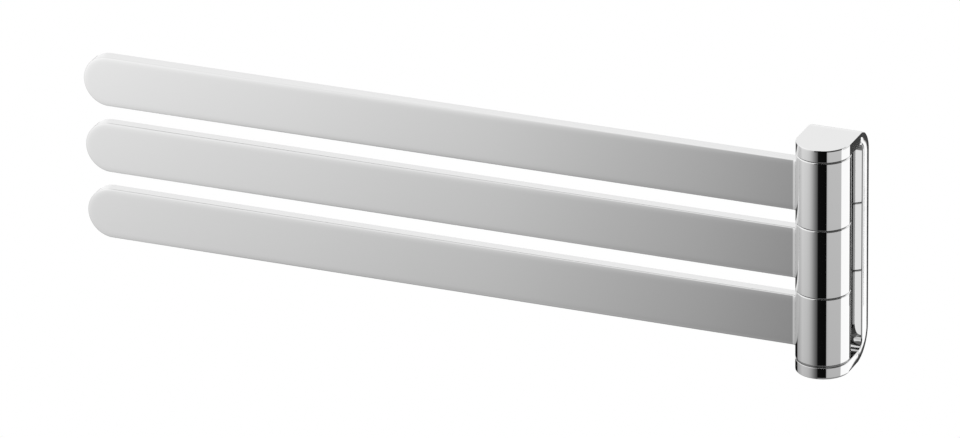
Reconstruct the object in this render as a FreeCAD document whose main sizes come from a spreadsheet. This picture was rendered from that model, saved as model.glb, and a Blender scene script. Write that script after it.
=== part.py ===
import FreeCAD, Part
import os
import re
import sys

import Sketcher

# A wall mounted towel rail with three flat arms that swing about one upright spindle.
#
# Frame: the origin is on the wall, behind the middle of the bracket. +Z is up, +Y points into
# the wall and -Y into the room. At rest the arms lie along -X, parallel to the wall.
# Lengths are in millimetres, angles in degrees.

ARMS = ("upper", "middle", "lower")

# Name, value and meaning of every driving dimension.
SIZES = [
    # bracket
    ("hub_radius", 15.0, "outer radius of the hubs and of the front of the bracket's plates"),
    ("back_gap", 5.5, "between the hubs and the back plate, and inside radius of the bends"),
    ("cap_thickness", 7.0, "top plate of the bracket"),
    ("foot_thickness", 6.6, "bottom plate of the bracket"),
    ("back_thickness", 9.0, "back plate of the bracket"),
    ("bend_outer", 14.0, "outside radius of the bends behind the plates"),
    ("outer_edge", 0.6, "bevel on the bracket's outside edges"),
    ("inner_edge", 0.35, "bevel on the bracket's inside edges"),
    ("cavity_width", 22.0, "cavity in the back plate, across"),
    ("cavity_height", 92.0, "cavity in the back plate, up and down"),
    ("cavity_depth", 5.6, "cavity in the back plate, from the wall"),
    ("cavity_corner", 3.0, "corner radius of the cavity"),
    # hubs
    ("hub_height", 39.3, "length of one hub along the spindle"),
    ("hub_edge", 0.7, "bevel on a hub's upper edge, which shows under each seam"),
    ("seam_gap", 0.3, "gap over each hub"),
    ("base_gap", 1.2, "gap under the lowest hub, filled by the base ring"),
    ("flare_radius", 5.6, "arcs in which an arm's faces run into the outside of its hub"),
    # arms
    ("arm_reach", 435.0, "from the axis to the tip of an arm"),
    ("arm_height", 29.4, "height of an arm's flat section"),
    ("arm_thickness", 7.4, "thickness of an arm's flat section"),
    ("arm_edge", 0.8, "bevel along an arm's edges"),
    ("tenon_height", 20.0, "tenon of an arm, up and down"),
    ("tenon_thickness", 4.0, "tenon of an arm, through its thickness"),
    ("tenon_length", 9.7, "tenon of an arm, from the butt face inwards"),
    ("pin_radius", 1.5, "retaining pin through the tenon"),
    ("pin_depth", 3.4, "from the outside of a hub to the pin's axis"),
    ("pin_sink", 1.6, "how far the pin's lower end lies inside the hub's end"),
    # spindle and what runs on it
    ("spindle_radius", 4.0, "pivot spindle"),
    ("spindle_socket", 4.0, "depth of the blind seat in the top plate"),
    ("spindle_seat", 2.5, "depth of the seat in the bottom plate"),
    ("spindle_chamfer", 0.5, "chamfer on the spindle's upper end"),
    ("running_clearance", 0.05, "between the spindle and the liners, and between thrust faces"),
    ("seat_clearance", 0.02, "between the spindle and its seats, and round pins and tenons"),
    ("liner_wall", 1.25, "wall of the plastic liner in a hub"),
    ("liner_sink", 0.1, "how far a liner's ends lie inside the hub's ends"),
    ("washer_lap", 1.2, "how far the thrust washers and the disc spring reach past the liners"),
    ("ring_inset", 0.35, "how far the base ring lies inside the hub's outline"),
    ("ring_width", 5.05, "base ring, from its bore to its outside"),
    ("spring_thickness", 0.5, "sheet of the disc spring"),
    ("spring_clearance", 0.4, "between the spindle and the disc spring"),
    # screws
    ("screw_radius", 2.45, "spindle screw and lock screw"),
    ("screw_bore", 2.5, "tapped hole for either screw"),
    ("screw_passage", 2.75, "plain hole for the spindle screw"),
    ("screw_head", 4.25, "radius of the spindle screw's head"),
    ("head_height", 2.6, "height of the spindle screw's head"),
    ("head_clearance", 0.2, "between the spindle screw's head and its counterbore"),
    ("screw_depth", 12.0, "depth of the tapped hole in the spindle"),
    ("socket_flat", 3.0, "width across flats of the hexagon sockets"),
    ("socket_depth", 1.8, "depth of the hexagon sockets"),
    ("lock_length", 13.0, "length of the lock screw"),
    ("lock_inset", 4.2, "from the wall to the lock screw's axis"),
    # mounting plate
    ("sheet_thickness", 2.0, "steel of the mounting plate"),
    ("sheet_clearance", 0.2, "between the mounting plate and the cavity's walls"),
    ("lip_reach", 5.2, "how far the lips of the mounting plate stand out from the wall"),
    ("foot_gap", 4.0, "from the lower lip to the cavity's floor"),
    ("wall_screw_bore", 2.6, "radius of the two wall screw holes"),
    ("wall_screw_pitch", 60.0, "distance between the two wall screw holes"),
]
NAMES = {name for name, value, meaning in SIZES}

# Lengths that follow from the driving dimensions.
WALL_DISTANCE = "(hub_radius + back_gap + back_thickness)"
PITCH = "(hub_height + seam_gap)"
SPAN = f"({len(ARMS)} * {PITCH} + base_gap)"
BRACKET_HEIGHT = f"({SPAN} + cap_thickness + foot_thickness)"
BRACKET_TOP = f"({SPAN} / 2 + cap_thickness)"
BRACKET_FOOT = f"-({SPAN} / 2 + foot_thickness)"
LINER_BORE = "(spindle_radius + running_clearance)"
LINER_RADIUS = f"({LINER_BORE} + liner_wall)"
SPINDLE_BORE = "(spindle_radius + seat_clearance)"
WASHER_RADIUS = f"({LINER_RADIUS} + washer_lap)"
SPRING_BORE = "(spindle_radius + spring_clearance)"
RING_RADIUS = "(hub_radius - ring_inset)"
FLARE_SIDE = "(arm_thickness / 2 + flare_radius)"
BOSS_REACH = f"sqrt((hub_radius + flare_radius)^2 - {FLARE_SIDE}^2)"
FLARE_SHARE = "(hub_radius / (hub_radius + flare_radius))"
PIN_INSET = "(hub_radius - pin_depth)"
TENON_END = f"({BOSS_REACH} - tenon_length)"
SOCKET_CORNER = "(socket_flat / sqrt(3))"

doc = FreeCAD.newDocument("swing_arm_towel_bar")
sheet = doc.addObject("Spreadsheet::Sheet", "Sizes")
for row, (name, value, meaning) in enumerate(SIZES, start=1):
    sheet.set(f"A{row}", name)
    sheet.set(f"B{row}", str(value))
    sheet.set(f"C{row}", meaning)
    sheet.setAlias(f"B{row}", name)
doc.recompute()


# ---------------------------------------------------------------- helpers

def on_sheet(formula):
    """Point each driving dimension in a formula at its cell."""
    return re.sub(r"[a-z_]+", lambda word: "Sizes." + word[0] if word[0] in NAMES else word[0], formula)


def length(formula):
    """The present value of a formula."""
    value = sheet.evalExpression(on_sheet(formula))
    return float(getattr(value, "Value", value))


def bind(thing, prop, formula):
    thing.setExpression(prop, on_sheet(formula))


def new_body(label, x="0", y="0", z="0"):
    """A body of its own for one sub-part, placed by three formulas."""
    body = doc.addObject("PartDesign::Body", label)
    body.Label = label
    for axis, formula in zip("xyz", (x, y, z)):
        bind(body, f"Placement.Base.{axis}", formula)
    return body


def new_sketch(body, name, role, lift="0"):
    """A sketch on one of the body's planes, moved along the plane's normal by lift."""
    sketch = body.newObject("Sketcher::SketchObject", name)
    plane = next(f for f in body.Origin.OriginFeatures if f.Role == role)
    sketch.AttachmentSupport = [(plane, "")]
    sketch.MapMode = "FlatFace"
    bind(sketch, "AttachmentOffset.Base.z", lift)
    return sketch


def fix(sketch, geometry, point, x=None, y=None):
    """Hold a point of a sketch at formulas for its two coordinates."""
    for kind, formula in (("DistanceX", x), ("DistanceY", y)):
        if formula is not None:
            rule = sketch.addConstraint(Sketcher.Constraint(kind, geometry, point, length(formula)))
            bind(sketch, f"Constraints[{rule}]", formula)


def trace(sketch, *path):
    """Draw a closed outline.

    Each step is (x, y) for the next corner of the outline, or (x, y, cx, cy, turn) for an arc to that
    corner round the centre (cx, cy), with turn +1 where it runs anticlockwise and -1 where clockwise.
    """
    spots = [FreeCAD.Vector(length(step[0]), length(step[1]), 0) for step in path]
    tips = []
    for index, step in enumerate(path):
        start, end = spots[index - 1], spots[index]
        if len(step) == 2:
            edge = sketch.addGeometry(Part.LineSegment(start, end))
            tips.append((edge, 1, 2))
            continue
        centre = FreeCAD.Vector(length(step[2]), length(step[3]), 0)
        first, last = (start, end) if step[4] > 0 else (end, start)
        east = FreeCAD.Vector(1, 0, 0)
        angles = [(spot - centre).getAngle(east) * (1 if spot.y >= centre.y else -1) for spot in (first, last)]
        circle = Part.Circle(centre, FreeCAD.Vector(0, 0, 1), (start - centre).Length)
        edge = sketch.addGeometry(Part.ArcOfCircle(circle, angles[0], angles[1]))
        tips.append((edge, 1, 2) if step[4] > 0 else (edge, 2, 1))
        chord = end - start
        if abs(chord.x) < abs(chord.y):
            fix(sketch, edge, 3, x=step[2])
        else:
            fix(sketch, edge, 3, y=step[3])
    for index, (edge, start_point, end_point) in enumerate(tips):
        following = tips[(index + 1) % len(tips)]
        sketch.addConstraint(Sketcher.Constraint("Coincident", edge, end_point, following[0], following[1]))
        fix(sketch, edge, end_point, x=path[index][0], y=path[index][1])
    return sketch


def ring(sketch, radius, x="0", y="0"):
    """Draw a circle."""
    middle = FreeCAD.Vector(length(x), length(y), 0)
    edge = sketch.addGeometry(Part.Circle(middle, FreeCAD.Vector(0, 0, 1), length(radius)))
    fix(sketch, edge, 3, x=x, y=y)
    rule = sketch.addConstraint(Sketcher.Constraint("Radius", edge, length(radius)))
    bind(sketch, f"Constraints[{rule}]", radius)
    return sketch


def extrude(body, name, kind, sketch, depth, symmetric=False, backwards=False):
    """Pad or Pocket a sketch."""
    feature = body.newObject("PartDesign::" + kind, name)
    feature.Profile = sketch
    feature.SideType = "Symmetric" if symmetric else "One side"
    feature.Reversed = backwards
    bind(feature, "Length", depth)
    return finish_step(body, feature, kind)


def turn(body, name, kind, sketch, axis="V_Axis"):
    """Revolution or Groove of a sketch, a full turn round one of its own axes."""
    feature = body.newObject("PartDesign::" + kind, name)
    feature.Profile = sketch
    feature.ReferenceAxis = (sketch, [axis])
    feature.Angle = 360
    return finish_step(body, feature, kind)


def finish_step(body, feature, kind):
    """Recompute, and make sure that a cut took material away and an addition added some."""
    before = feature.BaseFeature.Shape.Volume if feature.BaseFeature else 0
    doc.recompute()
    grown = feature.Shape.Volume - before
    wrong = grown >= 0 if kind in ("Pocket", "Groove") else grown <= 0
    if wrong and kind not in ("Fillet", "Chamfer"):
        sys.exit(f"{body.Label}: {feature.Name} changed the volume by {grown:.3f}")
    body.Tip = feature
    return feature


def soften(body, name, kind, radius, chosen):
    """Fillet or Chamfer the edges of the body's tip for which chosen(edge) is true."""
    tip = body.Tip
    picked = [f"Edge{i}" for i, edge in enumerate(tip.Shape.Edges, start=1) if chosen(edge)]
    if not picked:
        sys.exit(f"{body.Label}: {name} finds no edge")
    feature = body.newObject("PartDesign::" + kind, name)
    feature.Base = (tip, picked)
    bind(feature, "Radius" if kind == "Fillet" else "Size", radius)
    return finish_step(body, feature, kind)


def level(edge, axis, value, slack=0.01):
    """True where every end of an edge, and its middle, has this coordinate."""
    middle = edge.valueAt((edge.FirstParameter + edge.LastParameter) / 2)
    spots = [vertex.Point for vertex in edge.Vertexes] + [middle]
    return all(abs(getattr(spot, axis) - value) < slack for spot in spots)


def hexagon(sketch):
    """Draw the outline of a hexagon socket."""
    corner, half = SOCKET_CORNER, "(socket_flat / 2)"
    return trace(sketch,
                 (f"{corner}", "0"), (f"{corner} / 2", half), (f"-{corner} / 2", half),
                 (f"-{corner}", "0"), (f"-{corner} / 2", f"-{half}"), (f"{corner} / 2", f"-{half}"))


# ---------------------------------------------------------------- bracket

def wall_bracket():
    """The polished strap: top plate, bend, back plate, bend and bottom plate in one piece."""
    body = new_body("wall_bracket")
    outline = trace(new_sketch(body, "plate_outline", "XY_Plane", BRACKET_FOOT),
                    ("hub_radius", "0"),
                    ("-hub_radius", "0"),
                    ("-hub_radius", f"-{WALL_DISTANCE}"),
                    ("hub_radius", f"-{WALL_DISTANCE}", "0", f"-{WALL_DISTANCE}", 1))
    extrude(body, "block", "Pad", outline, BRACKET_HEIGHT)

    half, front, back = f"({SPAN} / 2)", f"-({WALL_DISTANCE} + 2 * hub_radius)", "-back_thickness"
    mouth = trace(new_sketch(body, "mouth_outline", "YZ_Plane"),
                  (front, half),
                  (front, f"-{half}"),
                  (f"{back} - back_gap", f"-{half}"),
                  (back, f"-({half} - back_gap)", f"{back} - back_gap", f"-({half} - back_gap)", 1),
                  (back, f"{half} - back_gap"),
                  (f"{back} - back_gap", half, f"{back} - back_gap", f"{half} - back_gap", 1))
    extrude(body, "mouth", "Pocket", mouth, "4 * hub_radius", symmetric=True)

    ends = [length(BRACKET_TOP), length(BRACKET_FOOT)]
    soften(body, "bends", "Fillet", "bend_outer",
           lambda edge: level(edge, "y", 0) and any(level(edge, "z", end) for end in ends))
    soften(body, "outer_edges", "Chamfer", "outer_edge", on_outside_of_bracket)
    soften(body, "inner_edges", "Chamfer", "inner_edge", on_inside_of_bracket)
    rear_cavity(body)
    spindle_seats(body)
    return body


def on_outside_of_bracket(edge):
    """The edges round the outside of the strap: its faces seen from behind, above and below."""
    reach, bend = length("hub_radius"), length("bend_outer")
    top, foot = length(BRACKET_TOP), length(BRACKET_FOOT)
    box = edge.BoundBox
    at_plate_face = box.ZMin > top - 0.01 or box.ZMax < foot + 0.01
    at_wall = level(edge, "y", 0) and (level(edge, "x", reach) or level(edge, "x", -reach))
    at_either_end = box.ZMax > top - 0.01 or box.ZMin < foot + 0.01
    on_bend = at_either_end and box.ZLength > 1 and box.YMax > -0.01 and box.YMin < 0.01 - bend
    return at_plate_face or at_wall or on_bend


def on_inside_of_bracket(edge):
    """The edges round the mouth of the strap."""
    half, back, bend = length(f"{SPAN} / 2"), length("-back_thickness"), length("back_gap")
    box = edge.BoundBox
    at_plate_face = box.ZMax - box.ZMin < 0.01 and abs(abs(box.ZMax) - half) < 0.01
    at_back = level(edge, "y", back)
    on_bend = abs(box.YMax - back) < 0.01 and abs(box.YMin - (back - bend)) < 0.01
    straight_across = box.YMax - box.YMin < 0.01 and box.ZMax - box.ZMin < 0.01
    return (at_plate_face or at_back or on_bend) and not straight_across


def rear_cavity(body):
    """The cavity for the mounting plate, and the tapped hole for the lock screw in its lower end."""
    half, high = "(cavity_width / 2)", "(cavity_height / 2)"
    inner_half, inner_high = f"({half} - cavity_corner)", f"({high} - cavity_corner)"
    outline = trace(new_sketch(body, "cavity_outline", "XZ_Plane"),
                    (inner_half, f"-{high}"),
                    (half, f"-{inner_high}", inner_half, f"-{inner_high}", 1),
                    (half, inner_high),
                    (inner_half, high, inner_half, inner_high, 1),
                    (f"-{inner_half}", high),
                    (f"-{half}", inner_high, f"-{inner_half}", inner_high, 1),
                    (f"-{half}", f"-{inner_high}"),
                    (f"-{inner_half}", f"-{high}", f"-{inner_half}", f"-{inner_high}", 1))
    extrude(body, "cavity", "Pocket", outline, "cavity_depth", backwards=True)
    foot = new_sketch(body, "lock_outline", "XY_Plane", f"-({high} - foot_gap)")
    lock = ring(foot, "screw_bore", y="-lock_inset")
    extrude(body, "lock_hole", "Pocket", lock, BRACKET_HEIGHT)


def spindle_seats(body):
    """The blind seat in the top plate, and the stepped hole in the bottom plate."""
    half = f"({SPAN} / 2)"
    top = ring(new_sketch(body, "socket_outline", "XY_Plane", half), SPINDLE_BORE, y=f"-{WALL_DISTANCE}")
    extrude(body, "socket", "Pocket", top, "spindle_socket", backwards=True)
    low = ring(new_sketch(body, "seat_outline", "XY_Plane", f"-{half}"), SPINDLE_BORE, y=f"-{WALL_DISTANCE}")
    extrude(body, "seat", "Pocket", low, "spindle_seat")
    through = ring(new_sketch(body, "passage_outline", "XY_Plane", f"-{half}"), "screw_passage",
                   y=f"-{WALL_DISTANCE}")
    extrude(body, "passage", "Pocket", through, "2 * foot_thickness")
    head = ring(new_sketch(body, "counterbore_outline", "XY_Plane", BRACKET_FOOT),
                "screw_head + head_clearance", y=f"-{WALL_DISTANCE}")
    extrude(body, "counterbore", "Pocket", head, "head_height + head_clearance", backwards=True)


# ---------------------------------------------------------------- mounting plate and screws

def mounting_plate():
    """Pressed steel plate that is screwed to the wall; its lips reach into the bracket's cavity."""
    body = new_body("mounting_plate")
    top, foot = "(cavity_height / 2 - seat_clearance)", "-(cavity_height / 2 - foot_gap)"
    section = trace(new_sketch(body, "section", "YZ_Plane"),
                    ("0", top),
                    ("-lip_reach", top),
                    ("-lip_reach", f"{top} - sheet_thickness"),
                    ("-sheet_thickness", f"{top} - sheet_thickness"),
                    ("-sheet_thickness", f"{foot} + sheet_thickness"),
                    ("-lip_reach", f"{foot} + sheet_thickness"),
                    ("-lip_reach", foot),
                    ("0", foot))
    extrude(body, "channel", "Pad", section, "cavity_width - 2 * cavity_corner", symmetric=True)
    corners = [length(top), length(foot)]
    soften(body, "outside_bends", "Fillet", "sheet_thickness",
           lambda edge: level(edge, "y", 0) and any(level(edge, "z", corner) for corner in corners))
    side, high, low = "(cavity_width / 2 - sheet_clearance)", f"{top} - cavity_corner", f"{foot} + cavity_corner"
    web = trace(new_sketch(body, "web_outline", "XZ_Plane"),
                (side, low), (side, high), (f"-{side}", high), (f"-{side}", low))
    extrude(body, "web", "Pad", web, "sheet_thickness")
    holes = new_sketch(body, "wall_screw_outline", "XZ_Plane")
    for side in ("", "-"):
        ring(holes, "wall_screw_bore", y=f"{side}wall_screw_pitch / 2")
    extrude(body, "wall_screw_holes", "Pocket", holes, "3 * sheet_thickness", symmetric=True)
    return body


def socket_screw(label, y, z, *profile):
    """A screw round an upright axis, with a hexagon socket in the end that lies at height z."""
    body = new_body(label, y=y, z=z)
    turn(body, "shank", "Revolution", trace(new_sketch(body, "profile", "XZ_Plane"), *profile))
    socket = hexagon(new_sketch(body, "socket_outline", "XY_Plane"))
    extrude(body, "socket", "Pocket", socket, "socket_depth", backwards=True)
    return body


def bracket_lock_screw():
    """Set screw that clamps the bracket to the mounting plate's foot from below."""
    return socket_screw("bracket_lock_screw", "-lock_inset", "-(cavity_height / 2 - foot_gap + lock_length)",
                        ("0", "0"), ("screw_radius", "0"), ("screw_radius", "lock_length"), ("0", "lock_length"))


def spindle_screw():
    """Low head screw, sunk in the bottom plate, that holds the spindle."""
    reach = "(foot_thickness - spindle_seat - head_clearance + screw_depth - 1)"
    return socket_screw("spindle_screw", f"-{WALL_DISTANCE}", f"{BRACKET_FOOT} + head_clearance",
                        ("0", "0"),
                        ("screw_head", "0"),
                        ("screw_head", "head_height"),
                        ("screw_radius", "head_height"),
                        ("screw_radius", reach),
                        ("0", reach))


# ---------------------------------------------------------------- spindle stack

def pivot_spindle():
    """Round bar through all the hubs, chamfered at the top, with a tapped hole in its lower end."""
    body = new_body("pivot_spindle", y=f"-{WALL_DISTANCE}")
    low, high = f"-({SPAN} / 2 + spindle_seat)", f"({SPAN} / 2 + spindle_socket - seat_clearance)"
    profile = trace(new_sketch(body, "profile", "XZ_Plane"),
                    ("screw_bore", low),
                    ("spindle_radius", low),
                    ("spindle_radius", f"{high} - spindle_chamfer"),
                    ("spindle_radius - spindle_chamfer", high),
                    ("0", high),
                    ("0", f"{low} + screw_depth"),
                    ("screw_bore", f"{low} + screw_depth"))
    turn(body, "bar", "Revolution", profile)
    return body


def flat_washer(label, low, high, bore, rim):
    """A plain washer round the spindle between two heights."""
    body = new_body(label, y=f"-{WALL_DISTANCE}")
    profile = trace(new_sketch(body, "profile", "XZ_Plane"), (bore, low), (rim, low), (rim, high), (bore, high))
    turn(body, "washer", "Revolution", profile)
    return body


def thrust_washers():
    """Thin washers between the top plate and the upper hub, and between each two hubs."""
    for index, arm in enumerate(ARMS):
        seam = f"({SPAN} / 2 - {index} * {PITCH})"
        flat_washer(f"{arm}_thrust_washer", f"{seam} - seam_gap + running_clearance",
                    f"{seam} - running_clearance", "spindle_radius + 2 * running_clearance", WASHER_RADIUS)


def base_ring():
    """The ring that shows between the lowest hub and the bottom plate."""
    floor = f"-{SPAN} / 2"
    return flat_washer("base_ring", floor, f"{floor} + base_gap - 2 * running_clearance",
                       f"{RING_RADIUS} - ring_width", RING_RADIUS)


def disc_spring():
    """Coned spring washer on the bottom plate; it loads the hubs so that the arms stay where put."""
    body = new_body("disc_spring", y=f"-{WALL_DISTANCE}", z=f"-{SPAN} / 2")
    height = "(base_gap - running_clearance)"
    profile = trace(new_sketch(body, "profile", "XZ_Plane"),
                    (WASHER_RADIUS, "0"),
                    (WASHER_RADIUS, "spring_thickness"),
                    (SPRING_BORE, height),
                    (SPRING_BORE, f"{height} - spring_thickness"))
    turn(body, "cone", "Revolution", profile)
    return body


# ---------------------------------------------------------------- one swinging arm

def hub(arm, middle):
    """Polished sleeve whose boss flares out of it, with a bore for the liner and a socket for the tenon."""
    body = new_body(f"{arm}_hub", y=f"-{WALL_DISTANCE}", z=middle)
    wide, half = "(arm_thickness / 2)", "(hub_height / 2)"
    root_x, root_y = f"-({BOSS_REACH} * {FLARE_SHARE})", f"({FLARE_SIDE} * {FLARE_SHARE})"
    boss = trace(new_sketch(body, "boss_outline", "XY_Plane"),
                 (root_x, root_y),
                 (f"-{BOSS_REACH}", wide, f"-{BOSS_REACH}", FLARE_SIDE, -1),
                 (f"-{BOSS_REACH}", f"-{wide}"),
                 (root_x, f"-{root_y}", f"-{BOSS_REACH}", f"-{FLARE_SIDE}", -1))
    extrude(body, "boss", "Pad", boss, "arm_height", symmetric=True)
    soften(body, "boss_edges", "Chamfer", "arm_edge",
           lambda edge: edge.BoundBox.ZLength < 0.01 and edge.BoundBox.XLength > 1)
    sleeve = trace(new_sketch(body, "sleeve_profile", "XZ_Plane"),
                   ("0", f"-{half}"),
                   ("hub_radius", f"-{half}"),
                   ("hub_radius", f"{half} - hub_edge"),
                   ("hub_radius - hub_edge", half),
                   ("0", half))
    turn(body, "sleeve", "Revolution", sleeve)


    bore = ring(new_sketch(body, "bore_outline", "XY_Plane"), LINER_RADIUS)
    extrude(body, "bore", "Pocket", bore, "2 * hub_height", symmetric=True)
    thick, high = "(tenon_thickness / 2 + seat_clearance)", "(tenon_height / 2 + seat_clearance)"
    socket = trace(new_sketch(body, "socket_outline", "YZ_Plane", f"-{BOSS_REACH}"),
                   (thick, f"-{high}"), (thick, high), (f"-{thick}", high), (f"-{thick}", f"-{high}"))
    extrude(body, "socket", "Pocket", socket, "tenon_length + seat_clearance", backwards=True)
    pin = ring(new_sketch(body, "pin_outline", "XY_Plane"), "pin_radius + seat_clearance", x=f"-{PIN_INSET}")
    extrude(body, "pin_hole", "Pocket", pin, "hub_height")
    return body


def blade(arm, middle):
    """Flat bar with a full round tip, bevelled edges and a tenon that goes into the hub."""
    body = new_body(f"{arm}_arm", y=f"-{WALL_DISTANCE}", z=middle)
    half, butt, tip = "(arm_height / 2)", f"-{BOSS_REACH}", "-(arm_reach - arm_height / 2)"
    outline = trace(new_sketch(body, "bar_outline", "XZ_Plane"),
                    (butt, f"-{half}"),
                    (butt, half),
                    (tip, half),
                    (tip, f"-{half}", tip, "0", 1))
    extrude(body, "bar", "Pad", outline, "arm_thickness", symmetric=True)
    face, side = length(butt), length("arm_thickness / 2")
    soften(body, "bar_edges", "Chamfer", "arm_edge",
           lambda edge: (level(edge, "y", side) or level(edge, "y", -side)) and not level(edge, "x", face))
    tall = "(tenon_height / 2)"
    tenon = trace(new_sketch(body, "tenon_outline", "XZ_Plane"),
                  (butt, f"-{tall}"), (f"-{TENON_END}", f"-{tall}"), (f"-{TENON_END}", tall), (butt, tall))
    extrude(body, "tenon", "Pad", tenon, "tenon_thickness", symmetric=True)
    pin = ring(new_sketch(body, "pin_outline", "XY_Plane"), "pin_radius + seat_clearance", x=f"-{PIN_INSET}")
    extrude(body, "pin_hole", "Pocket", pin, "2 * arm_height", symmetric=True)
    return body


def retaining_pin(arm, middle):
    """Upright pin driven up through the hub's wall and the tenon, caught by the piece under the hub."""
    low, high = "(pin_sink - hub_height / 2)", "(tenon_height / 2)"
    body = new_body(f"{arm}_retaining_pin", x=f"-{PIN_INSET}", y=f"-{WALL_DISTANCE}", z=middle)
    outline = ring(new_sketch(body, "outline", "XY_Plane", low), "pin_radius")
    extrude(body, "pin", "Pad", outline, f"{high} - {low}")
    return body


def liner(arm, middle):
    """Plastic sleeve pressed into the hub, which runs on the spindle."""
    body = new_body(f"{arm}_liner", y=f"-{WALL_DISTANCE}", z=middle)
    end = "(hub_height / 2 - liner_sink)"
    profile = trace(new_sketch(body, "profile", "XZ_Plane"),
                    (LINER_BORE, f"-{end}"), (LINER_RADIUS, f"-{end}"), (LINER_RADIUS, end), (LINER_BORE, end))
    turn(body, "sleeve", "Revolution", profile)
    return body


def arm_set(index, arm):
    """Everything that swings with one arm."""
    middle = f"({SPAN} / 2 - seam_gap - hub_height / 2 - {index} * {PITCH})"
    hub(arm, middle)
    blade(arm, middle)
    retaining_pin(arm, middle)
    liner(arm, middle)


# ---------------------------------------------------------------- build, check and write

wall_bracket()
mounting_plate()
bracket_lock_screw()
spindle_screw()
pivot_spindle()
thrust_washers()
base_ring()
disc_spring()
for position, arm_name in enumerate(ARMS):
    arm_set(position, arm_name)
doc.recompute()

faults = [thing.Name for thing in doc.Objects if {"Invalid", "Error"} & set(thing.State)]
subparts = [thing for thing in doc.Objects if thing.TypeId == "PartDesign::Body"]
faults += [body.Label for body in subparts if body.Shape.isNull() or not body.Shape.isValid()]
faults += [body.Label for body in subparts if len(body.Shape.Solids) != 1]
if faults:
    sys.exit("faults in: " + ", ".join(faults))

os.makedirs("parts", exist_ok=True)
for body in subparts:
    body.Shape.exportStep(os.path.join("parts", body.Label + ".step"))
print(len(subparts), "sub-parts written")
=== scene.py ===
"""Swing arm towel bar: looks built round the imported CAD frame."""

import math

import bmesh
import bpy
import numpy as np
from mathutils import Matrix, Vector


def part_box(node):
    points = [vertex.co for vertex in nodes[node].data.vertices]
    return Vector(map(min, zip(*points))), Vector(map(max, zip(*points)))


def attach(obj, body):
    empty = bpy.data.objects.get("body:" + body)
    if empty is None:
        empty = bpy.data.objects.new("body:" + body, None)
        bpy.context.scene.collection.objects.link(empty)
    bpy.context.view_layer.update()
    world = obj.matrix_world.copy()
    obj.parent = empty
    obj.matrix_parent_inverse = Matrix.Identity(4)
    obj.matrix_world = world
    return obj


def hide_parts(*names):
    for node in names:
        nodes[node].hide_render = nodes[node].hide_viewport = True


MM = 0.001
HAIR = 1e-6                                # a length too small to matter
QUARTER_TURN = math.pi / 2
ARMS = ("upper", "middle", "lower")

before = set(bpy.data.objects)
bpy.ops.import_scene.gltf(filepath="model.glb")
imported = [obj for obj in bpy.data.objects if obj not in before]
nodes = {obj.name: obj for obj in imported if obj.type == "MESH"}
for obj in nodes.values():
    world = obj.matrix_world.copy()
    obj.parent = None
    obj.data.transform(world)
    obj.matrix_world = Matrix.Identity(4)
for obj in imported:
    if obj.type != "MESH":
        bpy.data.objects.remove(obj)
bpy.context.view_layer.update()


def corners(node):
    """Lowest and highest corner of a CAD node."""
    low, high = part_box(node)
    return np.array(low), np.array(high)


def new_object(name, verts, faces):
    """An object in the scene, from plain lists of points and faces."""
    mesh = bpy.data.meshes.new(name)
    mesh.from_pydata([tuple(map(float, v)) for v in verts], [], [tuple(map(int, f)) for f in faces])
    mesh.validate()
    obj = bpy.data.objects.new(name, mesh)
    bpy.context.scene.collection.objects.link(obj)
    return obj


# ------------------------------------------------------------ camera

AXIS = Vector((0, -29.5 * MM, 0))          # a point on the spindle's axis
VIEW_TURN, VIEW_TILT, VIEW_ROLL = (math.radians(angle) for angle in (22.96, 23.41, -0.80))
AWAY, ASIDE, ABOVE, LIFT = 4.603, -0.1842, 0.0190, 0.0005      # from there back, right, up, and along Z
SENSOR, LENS = 36, 321.75                  # in mm


def from_camera(right, near, up=0):
    """World direction, from how far it points to the camera's right, toward the camera, and up."""
    cos, sin = math.cos(VIEW_TURN), math.sin(VIEW_TURN)
    return Vector((right * cos + near * sin, right * sin - near * cos, up))


def photo_camera():
    """Long lens, a little above the part and to its right."""
    back = from_camera(0, math.cos(VIEW_TILT), math.sin(VIEW_TILT))
    level = from_camera(1, 0)
    upright = back.cross(level)
    right = math.cos(VIEW_ROLL) * level + math.sin(VIEW_ROLL) * upright
    up = -math.sin(VIEW_ROLL) * level + math.cos(VIEW_ROLL) * upright
    place = AXIS + AWAY * back + ASIDE * right + ABOVE * up + Vector((0, 0, LIFT))
    data = bpy.data.cameras.new("photo_camera")
    data.sensor_fit = "HORIZONTAL"
    data.sensor_width = SENSOR
    data.lens = LENS
    camera = bpy.data.objects.new("photo_camera", data)
    camera.matrix_world = Matrix((right, up, back)).transposed().to_4x4()
    camera.matrix_world.translation = place
    bpy.context.scene.collection.objects.link(camera)
    bpy.context.scene.camera = camera


# ------------------------------------------------------------ studio

CHROME = 0.78                              # colour of the polish; what it should show is divided by it


def grey(level):
    """Linear value of an sRGB level from 0 to 255."""
    share = level / 255
    return share / 12.92 if share <= 0.04045 else ((share + 0.055) / 1.055) ** 2.4


def shining(name):
    """A material that only gives light; returns it, its tree and the socket for its strength."""
    material = bpy.data.materials.new(name)
    material.use_nodes = True
    tree = material.node_tree
    tree.nodes.clear()
    out = tree.nodes.new("ShaderNodeOutputMaterial")
    lamp = tree.nodes.new("ShaderNodeEmission")
    tree.links.new(lamp.outputs["Emission"], out.inputs["Surface"])
    return material, tree, lamp.inputs["Strength"]


def mixed(tree, share, low, high):
    """From low, a number or a socket, to high, a number, as share goes from 0 to 1."""
    mix = tree.nodes.new("ShaderNodeMix")
    if isinstance(low, float):
        mix.inputs["A"].default_value = low
    else:
        tree.links.new(low, mix.inputs["A"])
    mix.inputs["B"].default_value = high
    tree.links.new(share, mix.inputs["Factor"])
    return mix.outputs["Result"]


FLOOR, FLOOR_REACH = -0.60, 12.0
FLOOR_MIRRORED, FLOOR_SEEN = 0.28, 1.0     # brightness in the part's polish, and for the eye


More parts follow.
